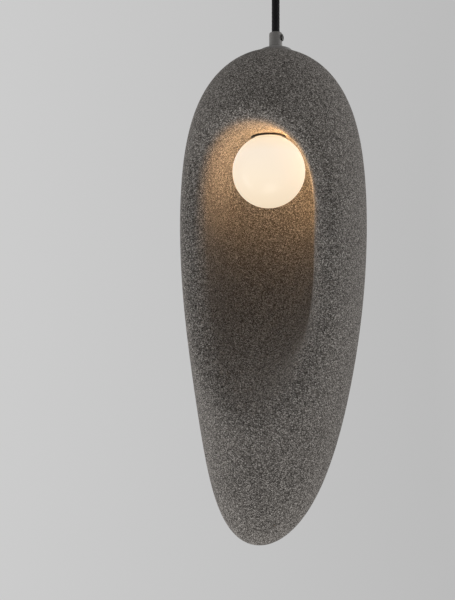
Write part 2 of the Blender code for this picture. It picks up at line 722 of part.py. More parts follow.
def globe():
    """Opal glass globe with a threaded neck, and the silicone ring on top of the neck."""
    neck_top = shade_top - 0.0895
    inner = globe_radius - globe_wall
    outer_start = math.degrees(math.acos(neck_radius / globe_radius))
    inner_end = math.degrees(math.acos(neck_inner_radius / inner))
    inside = arc((0, 0), inner, -90, inner_end, 10)
    outside = arc((0, 0), globe_radius, outer_start, -90, 14)
    rim_height = neck_top - globe_level
    profile = inside + [(neck_inner_radius, rim_height), (neck_radius, rim_height)] + outside
    glass = turned("opal_globe", profile, place=(0, -globe_forward, globe_level), steps=28)
    add(glass, opal_glass, globe_screw)
    ring_bottom = neck_top + gap
    ring_top = ring_bottom + 0.0018
    outside = neck_radius - 0.0001
    inside = neck_inner_radius + 0.0001
    profile = [(outside, ring_top), (outside, ring_bottom), (inside, ring_bottom), (inside, ring_top)]
    ring = turned("globe_gasket", profile, closed=True, place=(0, -globe_forward, 0))
    add(ring, silicone, globe_slide)


ceiling_fitting()
ceiling_wiring()
hanging_cord()
whole_shade = shade_shells()
crown_fitting(whole_shade)
lampholder()
globe()
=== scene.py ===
import math

import bmesh
import bpy
import numpy as np
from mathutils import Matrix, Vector


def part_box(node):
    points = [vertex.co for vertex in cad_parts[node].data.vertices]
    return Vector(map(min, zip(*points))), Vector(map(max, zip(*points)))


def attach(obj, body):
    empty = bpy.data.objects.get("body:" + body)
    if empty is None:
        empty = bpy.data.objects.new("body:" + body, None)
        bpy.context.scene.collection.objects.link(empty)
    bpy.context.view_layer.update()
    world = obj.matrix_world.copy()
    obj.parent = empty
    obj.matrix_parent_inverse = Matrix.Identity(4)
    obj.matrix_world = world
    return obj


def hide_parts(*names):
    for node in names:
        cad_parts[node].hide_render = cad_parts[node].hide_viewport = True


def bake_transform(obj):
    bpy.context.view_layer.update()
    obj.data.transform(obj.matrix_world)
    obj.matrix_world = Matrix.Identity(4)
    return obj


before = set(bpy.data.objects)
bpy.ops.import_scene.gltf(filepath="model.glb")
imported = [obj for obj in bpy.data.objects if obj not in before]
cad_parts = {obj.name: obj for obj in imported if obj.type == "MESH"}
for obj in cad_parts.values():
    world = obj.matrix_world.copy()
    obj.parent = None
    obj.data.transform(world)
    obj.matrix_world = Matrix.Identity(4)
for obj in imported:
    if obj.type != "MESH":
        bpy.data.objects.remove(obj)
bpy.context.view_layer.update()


# ---------------------------------------------------------------- camera
# The lamp is seen from 21.5 degrees to the right of its front, from about 0.8 m. The lens is level with a
# point below the globe, and the cord hangs a little to the right of the view's middle.
crown_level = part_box("back_shell")[1].z
view_azimuth = math.radians(21.5)
view_distance = 0.795
view_sideways = 0.0547
view_level = crown_level - 0.2774
ahead = Vector((-math.sin(view_azimuth), math.cos(view_azimuth), 0))
rightwards = Vector((math.cos(view_azimuth), math.sin(view_azimuth), 0))
camera = bpy.data.objects.new("camera", bpy.data.cameras.new("camera"))
camera.data.lens = 42
camera.data.sensor_width = 36
camera.data.clip_start = 0.02
camera.location = Vector((0, 0, view_level)) - view_distance * ahead - view_sideways * rightwards
camera.rotation_euler = (math.pi / 2, 0, view_azimuth)
bpy.context.scene.collection.objects.link(camera)
bpy.context.scene.camera = camera


# ---------------------------------------------------------------- cord
# Mains cord of three cores in a braided black textile sleeve, 8.8 mm thick. It hangs taut from the canopy's
# gland to the lamp's grip, where its end is clamped.
cord_radius = 0.0044
cord_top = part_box("cord")[1].z
cord_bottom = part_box("cord")[0].z
route_steps = 15
cord_route = [
    (0.0, 0.0, cord_top + (cord_bottom - cord_top) * share / route_steps) for share in range(route_steps + 1)
]
strand_pairs = 11
strand_pitch = 0.016
strand_relief = 0.045


def woven_mesh(name, points, creases=None, left_out=None):
    """A mesh over a grid of points: rows run along the piece and columns round it, the last column joins
    the first, and points that lie together are merged. Cells whose four corners are all marked as left out
    are not made."""
    rows, columns = points.shape[:2]
    index = np.arange(rows * columns).reshape(rows, columns)
    beside = np.roll(index, -1, axis=1)
    faces = np.stack([index[:-1], index[1:], beside[1:], beside[:-1]], axis=-1).reshape(-1, 4)
    if left_out is not None:
        faces = faces[~left_out.reshape(-1)[faces].all(axis=1)]
    mesh = bpy.data.meshes.new(name)
    mesh.from_pydata(points.reshape(-1, 3).tolist(), [], faces.tolist())
    shape = bmesh.new()
    shape.from_mesh(mesh)
    bmesh.ops.delete(shape, geom=[v for v in shape.verts if not v.link_faces], context="VERTS")
    bmesh.ops.remove_doubles(shape, verts=shape.verts, dist=1e-6)
    shape.to_mesh(mesh)
    shape.free()
    mesh.polygons.foreach_set("use_smooth", np.ones(len(mesh.polygons), dtype=bool))
    if creases:
        mesh.set_sharp_from_angle(angle=math.radians(creases))
    made = bpy.data.objects.new(name, mesh)
    bpy.context.scene.collection.objects.link(made)
    return made


def braided_tube(route, around, along):
    """A tube along a route: its radius is the cord's, a little more on a strand and a little less between
    two. The strands are two families of opposite helices, each a rounded ridge, and each on top in turn.
    The ends close to a point on the centre line."""
    route = np.array(route)
    share = np.linspace(0, 1, along)
    steps = np.linspace(0, 1, len(route))
    centre = np.stack([np.interp(share, steps, route[:, axis]) for axis in range(3)], axis=-1)
    travelled = share * np.linalg.norm(route[-1] - route[0])
    turn = np.linspace(0, 2 * math.pi, around, endpoint=False)
    first = strand_pairs * (turn[None, :] + travelled[:, None] / strand_pitch * 2)
    second = strand_pairs * (turn[None, :] - travelled[:, None] / strand_pitch * 2)
    over = 0.5 + 0.5 * np.sin((first + second) / 2) * np.sin((first - second) / 2)
    ridge = over * np.abs(np.cos(first / 2)) + (1 - over) * np.abs(np.cos(second / 2))
    radius = cord_radius * (1 + strand_relief * (ridge - 0.5))
    radius[[0, -1]] = 0
    x = centre[:, None, 0] + radius * np.cos(turn)
    y = centre[:, None, 1] + radius * np.sin(turn)
    z = np.repeat(centre[:, 2:3], around, axis=1)
    z[0], z[-1] = z[1], z[-2]
    return np.stack([x, y, z], axis=-1)


def nodes_of(name):
    """A new node material: its node tree, its Principled shader and the object's own coordinates."""
    made = bpy.data.materials.new(name)
    made.use_nodes = True
    tree = made.node_tree
    place = tree.nodes.new("ShaderNodeTexCoord")
    return made, tree, tree.nodes["Principled BSDF"], place.outputs["Object"]


def blend_of_colours(tree, factor, *stops):
    """Colours laid along a factor from 0 to 1, each stop a position and a colour."""
    ramp = tree.nodes.new("ShaderNodeValToRGB")
    while len(ramp.color_ramp.elements) < len(stops):
        ramp.color_ramp.elements.new(0.5)
    for element, (position, colour) in zip(ramp.color_ramp.elements, stops):
        element.position = position
        element.color = (*colour, 1)
    tree.links.new(factor, ramp.inputs["Fac"])
    return ramp.outputs["Color"]


def clouds(tree, place, scale, detail=3.0, roughness=0.55):
    """Soft random variation; the scale is in features a metre."""
    noise = tree.nodes.new("ShaderNodeTexNoise")
    noise.inputs["Scale"].default_value = scale
    noise.inputs["Detail"].default_value = detail
    noise.inputs["Roughness"].default_value = roughness
    tree.links.new(place, noise.inputs["Vector"])
    return noise.outputs["Fac"]


def relief(tree, shader, height, depth, strength=1.0):
    """Small surface relief from a height, with its depth in metres."""
    bump = tree.nodes.new("ShaderNodeBump")
    bump.inputs["Distance"].default_value = depth
    bump.inputs["Strength"].default_value = strength
    tree.links.new(height, bump.inputs["Height"])
    tree.links.new(bump.outputs["Normal"], shader.inputs["Normal"])


def textile_sleeve():
    """Black rayon braid: near-black yarn with slightly lighter fibres and a soft sheen."""
    made, tree, shader, place = nodes_of("black_braid")
    fibres = clouds(tree, place, 2600, 2.0)
    colour = blend_of_colours(tree, fibres, (0.35, (0.004, 0.004, 0.0045)), (0.75, (0.014, 0.014, 0.015)))
    tree.links.new(colour, shader.inputs["Base Color"])
    shader.inputs["Roughness"].default_value = 0.85
    shader.inputs["Specular IOR Level"].default_value = 0.25
    shader.inputs["Sheen Weight"].default_value = 0.06
    shader.inputs["Sheen Roughness"].default_value = 0.5
    relief(tree, shader, fibres, 0.00012)
    return made


black_braid = textile_sleeve()
cord = woven_mesh("textile_cord", braided_tube(cord_route, around=132, along=190))
cord.data.materials.append(black_braid)
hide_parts("cord")
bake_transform(cord)
for end_piece in ("cord_end", "cord_tail"):
    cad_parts[end_piece].data.materials.clear()
    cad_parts[end_piece].data.materials.append(black_braid)


# ---------------------------------------------------------------- ceiling bracket and wiring
# A zinc-plated steel strap that two screws hold to the ceiling, with a porcelain terminal block and a brass
# earth ring under it. The cord's brown, blue and green cores run to them inside the canopy.
def metal_finish(name, colour, roughness, grain=900, relief_depth=0.00004):
    """Plated metal: its colour and gloss drift a little, with fine drawing lines along one direction."""
    made, tree, shader, place = nodes_of(name)
    stretch = tree.nodes.new("ShaderNodeMapping")
    stretch.inputs["Scale"].default_value = (0.15, 1, 1)
    tree.links.new(place, stretch.inputs["Vector"])
    lines = clouds(tree, stretch.outputs["Vector"], grain, 3.0)
    dark, light = [tuple(part * share for part in colour) for share in (0.82, 1.12)]
    tree.links.new(blend_of_colours(tree, lines, (0.3, dark), (0.7, light)), shader.inputs["Base Color"])
    dull, shiny = roughness + 0.10, roughness - 0.06
    gloss = blend_of_colours(tree, clouds(tree, place, 160), (0.3, (shiny,) * 3), (0.7, (dull,) * 3))
    tree.links.new(gloss, shader.inputs["Roughness"])
    shader.inputs["Metallic"].default_value = 1.0
    relief(tree, shader, lines, relief_depth, 0.5)
    return made


def moulded_finish(name, colour, roughness, grain=1800, relief_depth=0.00005):
    """Moulded plastic, rubber or fired ceramic: a faint drift of colour and gloss over a fine skin."""
    made, tree, shader, place = nodes_of(name)
    skin = clouds(tree, place, grain, 2.0)
    dark, light = [tuple(part * share for part in colour) for share in (0.85, 1.12)]
    drift = blend_of_colours(tree, clouds(tree, place, 240), (0.3, dark), (0.7, light))
    tree.links.new(drift, shader.inputs["Base Color"])
    dull, shiny = roughness + 0.08, roughness - 0.05
    gloss = blend_of_colours(tree, skin, (0.3, (shiny,) * 3), (0.7, (dull,) * 3))
    tree.links.new(gloss, shader.inputs["Roughness"])
    relief(tree, shader, skin, relief_depth, 0.5)
    return made


zinc = metal_finish("zinc_plated_steel", (0.58, 0.58, 0.56), 0.34)
brass = metal_finish("plain_brass", (0.70, 0.50, 0.22), 0.30)
porcelain = moulded_finish("glazed_porcelain", (0.78, 0.76, 0.70), 0.20)
wire_sleeves = {
    "live_wire": moulded_finish("brown_sleeve", (0.105, 0.045, 0.022), 0.5),
    "neutral_wire": moulded_finish("blue_sleeve", (0.022, 0.09, 0.32), 0.5),
    "earth_wire": moulded_finish("green_sleeve", (0.11, 0.32, 0.05), 0.5),
}


def coat(finish, *names):
    """Gives CAD nodes, whose meshes stay as they are, a finish."""
    for node_name in names:
        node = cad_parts[node_name]
        node.data.materials.clear()
        node.data.materials.append(finish)


coat(zinc, "ceiling_bracket", "terminal_screw", "earth_screw")
coat(brass, "earth_terminal")
coat(porcelain, "terminal_block")
for wire_name, sleeve in wire_sleeves.items():
    coat(sleeve, wire_name)


# ---------------------------------------------------------------- canopy
# A spun steel cup, 120 mm across, in a fine warm grey powder coat. It hides the bracket, and two slotted
# screws in its side hold it to the bracket's ears.
canopy_low, canopy_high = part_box("canopy_cover")
canopy_radius = canopy_high.x
canopy_wall = 0.0012
canopy_bend = 0.006
gland_hole = 0.0071
rim_ease = 0.0003
cover_screw_head, cover_screw_rise = 0.0034, 0.0018
cover_screw_shank, cover_screw_length = 0.0015, 0.009


def powder_coat():
    """Fine-textured warm grey powder coat, a shade lighter where the film is thin."""
    made, tree, shader, place = nodes_of("grey_powder_coat")
    texture = clouds(tree, place, 1500, 3.0)
    colour = blend_of_colours(tree, texture, (0.35, (0.165, 0.158, 0.150)), (0.70, (0.225, 0.217, 0.208)))
    tree.links.new(colour, shader.inputs["Base Color"])
    gloss = blend_of_colours(
        tree, clouds(tree, place, 220), (0.3, (0.50, 0.50, 0.50)), (0.7, (0.62, 0.62, 0.62))
    )
    tree.links.new(gloss, shader.inputs["Roughness"])
    relief(tree, shader, texture, 0.00010, 0.6)
    return made


def eased(corners, ease, steps=4):
    """A closed profile with its corners rounded: each becomes a short quadratic curve between points that
    lie the easing distance before and after it, or just under half the side where the side is short."""
    corners = np.array(corners, dtype=float)
    before = np.roll(corners, 1, axis=0) - corners
    after = np.roll(corners, -1, axis=0) - corners
    long_before = np.linalg.norm(before, axis=1, keepdims=True)
    long_after = np.linalg.norm(after, axis=1, keepdims=True)
    start = before / long_before * np.minimum(ease, 0.45 * long_before)
    end = after / long_after * np.minimum(ease, 0.45 * long_after)
    t = np.linspace(0, 1, steps)[None, :, None]
    curve = corners[:, None] + start[:, None] * (1 - t) ** 2 + end[:, None] * t ** 2
    return curve.reshape(-1, 2)


def lathed(profile, around, centre=(0, 0)):
    """A closed profile of radius and height turned about an upright axis."""
    profile = np.concatenate([profile, profile[:1]])
    turn = np.linspace(0, 2 * math.pi, around, endpoint=False)[None, :]
    radius, level = profile[:, :1], profile[:, 1:]
    return np.stack(
        [centre[0] + radius * np.cos(turn), centre[1] + radius * np.sin(turn), level + 0 * turn], axis=-1
    )


def bent(centre_radius, centre_level, radius, start, end):
    """A quarter of a circle in a profile, as radius and height; the angles are in degrees from the level."""
    sweep = np.radians(np.linspace(start, end, 12))
    return np.stack([centre_radius + radius * np.cos(sweep), centre_level + radius * np.sin(sweep)], axis=-1)


grey_coat = powder_coat()
bend_level = canopy_low.z + canopy_bend
cup = np.concatenate([
    [(canopy_radius - 0.0002, 0.0), (canopy_radius, -rim_ease)],
    bent(canopy_radius - canopy_bend, bend_level, canopy_bend, 0, -90),
    [(gland_hole + 0.0004, canopy_low.z), (gland_hole, canopy_low.z + 0.0004)],
    [(gland_hole, canopy_low.z + canopy_wall)],
    bent(canopy_radius - canopy_bend, bend_level, canopy_bend - canopy_wall, -90, 0),
    [(canopy_radius - canopy_wall, 0.0)],
])
canopy = woven_mesh("canopy_cup", lathed(cup, 144)[::-1], 35)
canopy.data.materials.append(grey_coat)
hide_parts("canopy_cover")
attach(canopy, "canopy")


def slotted_screw(place, side, head_radius, head_height, shank_radius, shank_length, around=72):
    """A pan-head screw along X: rings from the middle of the head outwards, down its edge and along the
    shank, with a slot pressed in wherever a head point lies near the slot's line."""
    out = np.linspace(0, 1, 22)
    head = np.stack([head_radius * out, head_height * (1 - 0.45 * out ** 2.6)], axis=-1)
    shank = [(head_radius, 0.0), (shank_radius, 0.0), (shank_radius, -shank_length), (0.0, -shank_length)]
    profile = np.concatenate([head, shank])
    turn = np.linspace(0, 2 * math.pi, around, endpoint=False)[None, :]
    across = profile[:, :1] * np.cos(turn)
    along = profile[:, :1] * np.sin(turn)
    level = profile[:, 1:] + 0 * turn
    slot = 0.13 * head_radius
    on_head = (np.arange(len(profile)) < len(out) - 1)[:, None]
    pressed = np.clip((slot - np.abs(across)) / (0.35 * slot), 0, 1) * on_head
    level = level - 0.55 * head_height * pressed
    return np.stack([place[0] + side * level, place[1] + side * across, place[2] + along], axis=-1)


for side, word in ((1, "right"), (-1, "left")):
    screw_low, screw_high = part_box("cover_screw_" + word)
    screw_place = (side * (canopy_radius + 0.0003), 0.0, (screw_low.z + screw_high.z) / 2)
    screw_points = slotted_screw(
        screw_place, side, cover_screw_head, cover_screw_rise, cover_screw_shank, cover_screw_length
    )
    screw = woven_mesh("canopy_screw_" + word, screw_points, 35)
    screw.data.materials.append(zinc)
    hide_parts("cover_screw_" + word)
    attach(screw, "canopy")


# ---------------------------------------------------------------- cord gland
# A moulded black nylon gland through the canopy's floor, with fine ribs for the fingers and a flared mouth. A
# hexagon nut holds it from inside, and its side screw clamps the cord.
gland_low, gland_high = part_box("cord_gland")
gland_radius = gland_high.x
gland_ribs = 36
gland_thread = 0.0068
gland_bore = 0.0048
mouth_neck = 0.0051
mouth_height = 0.0078
bore_height = 0.0095
collar_top = canopy_low.z - 0.0003
gland_profile = np.array([
    (gland_bore, gland_high.z),
    (gland_thread - 0.0002, gland_high.z),
    (gland_thread, gland_high.z - 0.0003),
    (gland_thread, collar_top),
    (gland_radius - 0.0005, collar_top),
    (gland_radius, collar_top - 0.0005),
    (gland_radius, collar_top - 0.0033),
    (gland_radius, collar_top - 0.0036),
    (gland_radius, gland_low.z + 0.0018),
    (gland_radius - 0.0003, gland_low.z + 0.0009),
    (gland_radius - 0.0008, gland_low.z + 0.0003),
    (gland_radius - 0.0013, gland_low.z),
    (gland_radius - 0.0016, gland_low.z + 0.0001),
    (mouth_neck, gland_low.z + mouth_height),
    (gland_bore, gland_low.z + bore_height),
])


def ribbed(profile, ribs, depth, around):
    """A lathed profile whose outer wall is pressed in between ribs by a rounded wave round the axis."""
    points = lathed(profile, around)
    closed = np.concatenate([profile, profile[:1]])
    outside = (closed[:, 0] > gland_radius - 1e-5) & (closed[:, 1] < collar_top - 0.0034)
    turn = np.linspace(0, 2 * math.pi, around, endpoint=False)[None, :]
    wave = 1 - depth / gland_radius * outside[:, None] * np.abs(np.sin(ribs * turn / 2)) ** 0.7
    points[..., 0] *= wave
    points[..., 1] *= wave
    return points


black_nylon = moulded_finish("black_nylon", (0.016, 0.016, 0.016), 0.45)
gland = woven_mesh("cord_gland_body", ribbed(gland_profile, gland_ribs, 0.0004, 288), 50)
gland.data.materials.append(black_nylon)
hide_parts("cord_gland")
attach(gland, "canopy")
coat(black_nylon, "gland_nut")
coat(zinc, "gland_clamp_screw")


# ---------------------------------------------------------------- cord grip
# Turned steel sleeve in the same grey coat, with a rounded top and a mouth that is eased for the cord. A
# black socket screw in its side clamps the cord.
grip_low, grip_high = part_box("cord_grip")
grip_radius = 0.0074
cord_mouth = 0.0049
cord_seat = 0.0048
socket_radius = 0.0053
wire_bore = 0.0026
web_top = grip_high.z - 0.0085
web_bottom = grip_high.z - 0.0105
grip_screw_head, grip_screw_rise = 0.0037, 0.0013
grip_screw_shank, grip_screw_length = 0.0015, 0.0031
grip_profile = [
    (cord_mouth, grip_high.z), (grip_radius, grip_high.z), (grip_radius, grip_low.z),
    (socket_radius, grip_low.z), (socket_radius, web_bottom), (wire_bore, web_bottom),
    (wire_bore, web_top), (cord_seat, web_top),
]
grip = woven_mesh("cord_grip_sleeve", lathed(eased(grip_profile, 0.0011, 6), 80), 40)
grip.data.materials.append(grey_coat)
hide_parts("cord_grip")
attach(grip, "grip")


def button_screw(place, head_radius, head_height, shank_radius, shank_length, around=60):
    """A low button-head screw along X with a hexagon socket: rings outwards over the head, where points
    inside a hexagon are pressed in, then under the head and along the shank."""
    out = np.linspace(0, 1, 26)
    head = np.stack([head_radius * out, head_height * np.sqrt(1 - 0.80 * out ** 3)], axis=-1)
    shank = [(head_radius, 0.0), (shank_radius, 0.0), (shank_radius, -shank_length), (0.0, -shank_length)]
    profile = np.concatenate([head, shank])
    turn = np.linspace(0, 2 * math.pi, around, endpoint=False)[None, :]
    hexagon = 0.42 * head_radius / np.cos((turn + math.pi / 6) % (math.pi / 3) - math.pi / 6)
    on_head = (np.arange(len(profile)) < len(out) - 1)[:, None]
    pressed = np.clip((hexagon - profile[:, :1]) / (0.12 * head_radius), 0, 1) * on_head
    level = profile[:, 1:] - 0.8 * head_height * pressed
    across, along = profile[:, :1] * np.cos(turn), profile[:, :1] * np.sin(turn)
    return np.stack([place[0] + level, place[1] + across, place[2] + along], axis=-1)


screw_low, screw_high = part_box("grip_screw")
screw_place = (grip_radius + 0.0003, 0.0, (screw_low.z + screw_high.z) / 2)
blackened = metal_finish("blackened_steel", (0.055, 0.053, 0.050), 0.42)
screw_points = button_screw(
    screw_place, grip_screw_head, grip_screw_rise, grip_screw_shank, grip_screw_length
)
screw = woven_mesh("grip_clamp_screw", screw_points, 35)
screw.data.materials.append(blackened)
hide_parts("grip_screw")
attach(screw, "grip")


# ---------------------------------------------------------------- shade
# One hollow body of cast mineral resin, sprayed with a coat of fine crushed stone in several greys. The
# scoop's lip rolls inwards all round, and its ceiling has a flat seat with a round hole for the lampholder.
shade_radius = 0.1036
crown_height = 0.1957
tail_height = 0.339
body_forward = 0.0113
tail_sweep = 0.048
shade_wall = 0.0032
upper_fullness = 0.518
lower_thinning, lower_fullness = 0.282, 0.567
sweep_power = 3.84
globe_forward = 0.0252
ceiling_depth = 0.0972
lip_width = 0.0880
lip_up = 0.1195
lip_down = 0.216
lip_shoulder_up = 0.22
lip_shoulder_down = 0.32
foot_up = 0.041
foot_down = 0.120
scoop_depth = 0.042
scoop_ramp = 0.058
ramp_power = 2.2
seat_inner = 0.026
seat_outer = 0.052
lip_roll = 0.015
foot_roll = 0.022
foot_lean = 48
holder_hole_radius = 0.0180
nipple_hole_radius = 0.0056
hole_snap = 0.0008
widest_level = crown_level - crown_height


def half_width(height):
    """Half-width of the shade at a height above its widest level: an ellipse, fuller above and below."""
    above = height >= 0
    share = (height / np.where(above, crown_height, tail_height)) ** 2
    fullness = np.where(
        above, 1 + upper_fullness * share, 1 - lower_thinning * share + lower_fullness * share ** 2
    )
    return shade_radius * np.sqrt(np.maximum((1 - share) * fullness, 0))


def round_face(x, height, side):
    """The Y of the shade's round surface on its front (-1) or back (1): a circle about a middle that runs
    straight down the body and sweeps forward in the tail."""
    middle = -body_forward - tail_sweep * np.clip(-height / tail_height, 0, 1) ** sweep_power
    return middle + side * np.sqrt(np.maximum(half_width(height) ** 2 - x ** 2, 0))


def shade_rim(angle):
    """The shade's widest outline as x and height, with angle 0 at the top."""
    height = np.where(np.cos(angle) >= 0, crown_height, tail_height) * np.cos(angle)
    return np.sign(np.sin(angle)) * half_width(height), height


def lip_line(angle):
    """Where the lip starts, as x and height: two half ovals with full shoulders."""
    above = np.cos(angle) >= 0
    shoulder = np.where(above, lip_shoulder_up, lip_shoulder_down)
    x = lip_width * np.sin(angle) * (1 + shoulder * np.cos(angle) ** 2)
    return x, np.where(above, lip_up, lip_down) * np.cos(angle)


def back_of_shade(angle, turns):
    """From the middle line of the back out to the rim, evenly in turning angle."""
    rim_x, rim_height = shade_rim(angle)
    foot = 0.5 * rim_height
    share = np.sin(turns)[:, None]
    x = share * rim_x
    height = foot + share * (rim_height - foot)
    return np.stack([x, round_face(x, height, 1), height], axis=-1)


def front_of_shade(angle, shares):
    """From the rim over the front to the start of the lip."""
    rim_x, rim_height = shade_rim(angle)
    lip_x, lip_height = lip_line(angle)
    share = (1 - np.cos(shares * math.pi / 2))[:, None]
    x = rim_x + share * (lip_x - rim_x)
    height = rim_height + share * (lip_height - rim_height)
    return np.stack([x, round_face(x, height, -1), height], axis=-1)


def scoop(angle, roll_shares, wall_shares):
    """The lip's roll and the scoop's wall. In the plane of each meridian the roll is an arc that leaves the
    front tangentially, and the wall is a cubic curve that ends on the scoop's middle line, in line with its
    floor. Round the lampholder the ceiling is levelled by a smooth step."""
    lip_x, lip_height = lip_line(angle)
    foot_height = np.where(np.cos(angle) >= 0, foot_up, foot_down) * np.cos(angle)
    reach = np.hypot(lip_x, lip_height - foot_height)
    way_x, way_height = lip_x / reach, (lip_height - foot_height) / reach
    step = 0.0005
    outer = round_face(lip_x + step * way_x, lip_height + step * way_height, -1)
    inner = round_face(lip_x - step * way_x, lip_height - step * way_height, -1)
    start = math.pi + np.arctan((outer - inner) / (2 * step))
    low = (1 - np.cos(angle)) / 2
    lean = np.radians(foot_lean) * low ** 6
    roll = lip_roll + foot_roll * low ** 8
    centre_s = reach + roll * np.sin(start)
    centre_y = round_face(lip_x, lip_height, -1) - roll * np.cos(start)
    heading = start + roll_shares[:, None] * (math.pi / 2 + lean - start)
    roll_s = centre_s - roll * np.sin(heading)
    roll_y = centre_y + roll * np.cos(heading)
    down = np.clip((foot_up - foot_height) / (foot_up + foot_down), 0, 1)
    floor = scoop_depth - scoop_ramp * down ** ramp_power
    slope = ramp_power * scoop_ramp * down ** (ramp_power - 1) / (foot_up + foot_down)
    pull = 0.80 - 0.40 * low ** 1.5
    near_s = roll_s[-1] - pull * (floor - roll_y[-1]) * np.tan(lean)
    near_y = roll_y[-1] + pull * (floor - roll_y[-1])
    far_s = pull * roll_s[-1]
    far_y = floor + far_s * slope * way_height
    t = wall_shares[:, None]
    first, second, third, last = (1 - t) ** 3, 3 * t * (1 - t) ** 2, 3 * t ** 2 * (1 - t), t ** 3
    wall_s = first * roll_s[-1] + second * near_s + third * far_s
    wall_y = first * roll_y[-1] + second * near_y + third * far_y + last * floor
    s = np.concatenate([roll_s, wall_s])
    y = np.concatenate([roll_y, wall_y])
    x = s * way_x
    height = foot_height + s * way_height
    seat = crown_height - ceiling_depth
    flat = np.clip((seat_outer - np.hypot(x, y + globe_forward)) / (seat_outer - seat_inner), 0, 1)
    flat = flat * flat * (3 - 2 * flat) * (height > seat - 0.04)
    return np.stack([x, y, height + flat * (seat - height)], axis=-1)


def round_hole(points, centre, radius, snap, low, high):
    """Draws the points that lie within the snapping distance of a round hole's edge onto it, and returns the
    points and a mark on those that lie on the edge or inside it, between two levels."""
    away = points[..., :2] - np.array(centre)
    distance = np.maximum(np.hypot(away[..., 0], away[..., 1]), 1e-9)
    level = (points[..., 2] > low) & (points[..., 2] < high)
    near = level & (np.abs(distance - radius) < snap)
    drawn = points.copy()
    drawn[..., :2] = np.where(near[..., None], centre + away / distance[..., None] * radius, points[..., :2])
    return drawn, level & (near | (distance < radius))


def crushed_stone():
    """Sprayed stone coat: each grain has its own grey, light, middle or nearly black, over a warm grey
    ground, and stands out a little. The coat is quite dull."""
    made, tree, shader, place = nodes_of("crushed_stone_coat")
    grains = tree.nodes.new("ShaderNodeTexVoronoi")
    grains.inputs["Scale"].default_value = 1300
    tree.links.new(place, grains.inputs["Vector"])
    grey = tree.nodes.new("ShaderNodeSeparateColor")
    tree.links.new(grains.outputs["Color"], grey.inputs["Color"])
    stones = blend_of_colours(
        tree, grey.outputs["Red"],
        (0.00, (0.006, 0.005, 0.004)), (0.24, (0.026, 0.023, 0.020)), (0.48, (0.108, 0.098, 0.088)),
        (0.80, (0.212, 0.195, 0.179)), (1.00, (0.48, 0.45, 0.42)),
    )
    drift = clouds(tree, place, 1300, 2.0, 0.6)
    ground = blend_of_colours(tree, drift, (0.30, (0.080, 0.071, 0.063)), (0.70, (0.205, 0.187, 0.170)))
    mix = tree.nodes.new("ShaderNodeMix")
    mix.data_type = "RGBA"
    mix.inputs["Factor"].default_value = 0.18
    tree.links.new(stones, mix.inputs["A"])
    tree.links.new(ground, mix.inputs["B"])
    tree.links.new(mix.outputs["Result"], shader.inputs["Base Color"])
    shader.inputs["Roughness"].default_value = 0.93
    shader.inputs["Specular IOR Level"].default_value = 0.25
    relief(tree, shader, grains.outputs["Distance"], 0.0006, 0.55)
    return made


stone_coat = crushed_stone()
round_angles = np.linspace(0, 2 * math.pi, 300, endpoint=False)
rows = [
    back_of_shade(round_angles, np.linspace(0, math.pi / 2, 34)),
    front_of_shade(round_angles, np.linspace(0, 1, 26)[1:]),
    scoop(round_angles, np.linspace(0, 1, 17)[1:], np.linspace(0, 1, 48)[1:]),
]
shade_points = np.concatenate(rows) + np.array([0, 0, widest_level])
seat_level = crown_level - ceiling_depth
shade_points, holder_hole = round_hole(
    shade_points, (0, -globe_forward), holder_hole_radius, hole_snap, seat_level - 0.004, seat_level + 0.004
)
shade_points, nipple_hole = round_hole(
    shade_points, (0, 0), nipple_hole_radius, hole_snap, crown_level - 0.006, crown_level + 0.001
)
shade = woven_mesh("stone_shade", shade_points, left_out=holder_hole | nipple_hole)
shade_thickness = shade.modifiers.new("wall", "SOLIDIFY")
shade_thickness.thickness = shade_wall
shade_thickness.offset = -1
shade.data.materials.append(stone_coat)
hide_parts("front_shell", "back_shell")
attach(shade, "lamp")


# ---------------------------------------------------------------- crown cap
# Low cap of turned steel in a warm grey powder coat. Its edge is eased, and its underside is scribed to the
# shade's crown, where it covers the nipple's hole.
cap_radius = 0.0190
cap_height = 0.0085
cap_rim_height = 0.0052
cap_edge = 0.0016
cap_shoulder = 0.0078
nipple_clearance = 0.0056
coat_gap = 0.0005


def scribed_cap(around, along):
    """A shallow crown from the grip out to a quarter-round edge, a short upright wall, and an underside
    that lies just above the shade: its height is found at each point by halving the shade's outline."""
    turn = np.linspace(0, 2 * math.pi, around, endpoint=False)[None, :]

    def shade_under(radius):
        """The level just above the shade at a distance from the cord's line, found by halving."""
        distance = np.hypot(radius * np.sin(turn), body_forward - radius * np.cos(turn))
        low, high = np.full_like(distance, 0.5 * crown_height), np.full_like(distance, crown_height)
        for _ in range(40):
            middle = (low + high) / 2
            wider = half_width(middle) > distance
            low, high = np.where(wider, middle, low), np.where(wider, high, middle)
        return crown_level - crown_height + low + coat_gap

    top = crown_level + cap_height
    rim = crown_level + cap_rim_height - cap_edge
    out = np.linspace(0, 1, along)[:, None] + 0 * turn
    crown_radius = cap_shoulder + (cap_radius - cap_edge - cap_shoulder) * out
    crown_top = top + (rim + cap_edge - top) * out ** 1.5
    sweep = np.linspace(0, math.pi / 2, 9)[1:, None] + 0 * turn
    edge_radius = cap_radius - cap_edge + cap_edge * np.sin(sweep)
    edge_level = rim + cap_edge * np.cos(sweep)
    under_radius = np.linspace(cap_radius - 0.0003, nipple_clearance, 8)
    under_radius = np.concatenate([[cap_radius], under_radius])[:, None]
    under_radius = under_radius + 0 * turn
    under = shade_under(under_radius)
    hole_radius = np.full_like(turn, nipple_clearance)
    hole_top = np.full_like(turn, top)
    radii = np.concatenate([hole_radius, crown_radius, edge_radius, under_radius, hole_radius])
    levels = np.concatenate([hole_top, crown_top, edge_level, under, hole_top])
    return np.stack([radii * np.sin(turn), -radii * np.cos(turn), levels], axis=-1)


